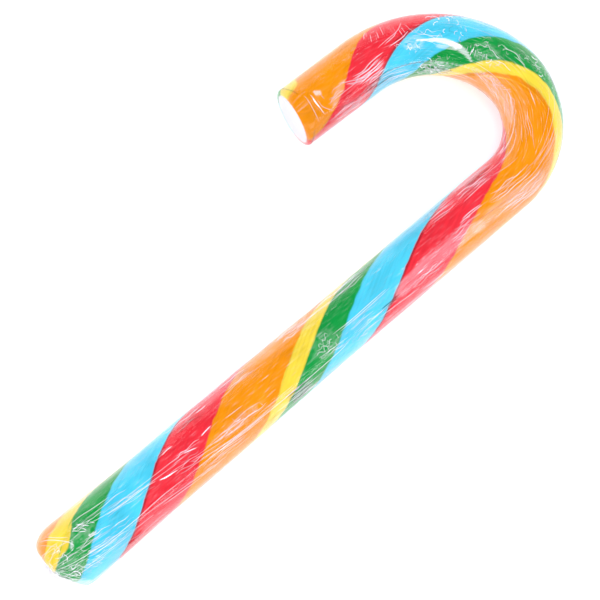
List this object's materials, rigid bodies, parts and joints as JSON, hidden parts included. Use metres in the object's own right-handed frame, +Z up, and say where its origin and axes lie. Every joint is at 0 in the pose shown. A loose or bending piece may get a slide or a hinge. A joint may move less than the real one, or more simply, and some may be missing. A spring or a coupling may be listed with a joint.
{
  "type": "candy cane",
  "caption": "Hooked candy cane: a thick stick of spirally striped boiled sugar over a white core, tapering towards the hook, wrapped tight in clear crinkled film.",
  "frame": {"origin": "on the surface that the cane lies on, below the middle of its plan", "axes": "+Z up; the stem runs along +Y with the hook at its +Y end, and the hook bends round towards -X"},
  "size_m": [0.073, 0.202, 0.0207],
  "materials": {
    "pulled_sugar_white": "pulled white sugar, opaque with a soft shine",
    "boiled_sugar_orange": "glossy boiled sugar, a little cloudy",
    "boiled_sugar_yellow": "glossy boiled sugar, a little cloudy",
    "boiled_sugar_green": "glossy boiled sugar, a little cloudy",
    "boiled_sugar_blue": "glossy boiled sugar, a little cloudy",
    "boiled_sugar_red": "glossy boiled sugar, a little cloudy",
    "clear_film": "thin clear cling film, glossy, crinkled and clinging"
  },
  "bodies": {
    "root": {"core": "pulled_sugar_white", "stripe_orange": "boiled_sugar_orange", "stripe_yellow": "boiled_sugar_yellow", "stripe_green": "boiled_sugar_green", "stripe_blue": "boiled_sugar_blue", "stripe_red": "boiled_sugar_red"}
  },
  "joints": []
}
